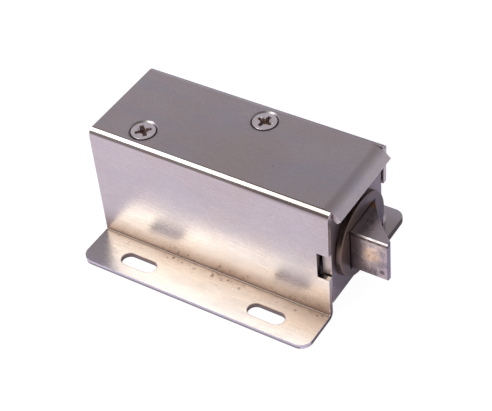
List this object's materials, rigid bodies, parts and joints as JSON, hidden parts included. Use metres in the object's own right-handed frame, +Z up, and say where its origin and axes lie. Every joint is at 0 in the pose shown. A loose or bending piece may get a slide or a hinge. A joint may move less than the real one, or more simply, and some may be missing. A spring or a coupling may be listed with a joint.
{
  "type": "electric cabinet lock",
  "caption": "Solenoid cabinet lock: folded sheet cover with slotted mounting flanges and a sprung square bolt, slanted on one side, that the coil draws in.",
  "frame": {"origin": "centre of the four mounting slots, on the underside of the flanges", "axes": "+X the way the bolt points, +Z up from the mounting surface, +Y towards the bolt's slanted side"},
  "size_m": [0.0635, 0.0426, 0.0283],
  "materials": {
    "nickel_sheet": "satin nickel plating on folded steel sheet",
    "cover_screw": "plated, dulled in the recess",
    "frame_iron": "dull nickel plating",
    "bush_metal": "dark turned face",
    "bobbin_plastic": "moulded",
    "winding_copper": "enamelled copper wire",
    "wrap_tape": "polyester tape",
    "terminal_brass": "tinned",
    "tube_brass": "drawn",
    "core_steel": "turned, nickel plated",
    "core_screw_steel": "zinc plated",
    "residual_plastic": "stamped shim",
    "bolt_metal": "nickel plated casting with a warm sheen",
    "pin_steel": "ground",
    "spring_steel": "drawn wire",
    "damper_rubber": "moulded"
  },
  "bodies": {
    "housing": {"housing_cover": "nickel_sheet", "rear_cover_screw": "cover_screw", "front_cover_screw": "cover_screw", "yoke_frame": "frame_iron", "flux_plate": "frame_iron", "guide_bush": "bush_metal", "coil_bobbin": "bobbin_plastic", "coil_winding": "winding_copper", "coil_wrap": "wrap_tape", "near_terminal": "terminal_brass", "far_terminal": "terminal_brass", "guide_tube": "tube_brass", "pole_core": "core_steel", "core_screw": "core_screw_steel", "core_washer": "core_screw_steel", "residual_washer": "residual_plastic", "return_spring": "spring_steel", "spring_washer": "pin_steel", "damping_washer": "damper_rubber"},
    "bolt": {"plunger": "core_steel", "latch_bolt": "bolt_metal", "bolt_pin": "pin_steel"}
  },
  "joints": [
    {"name": "bolt_slide", "type": "slide", "parent": "housing", "child": "bolt", "axis": [1, 0, 0], "range_m": [-0.008, 0], "stiffness_N_per_m": 120, "springref_m": 0.006, "deforming": ["return_spring"]}
  ]
}
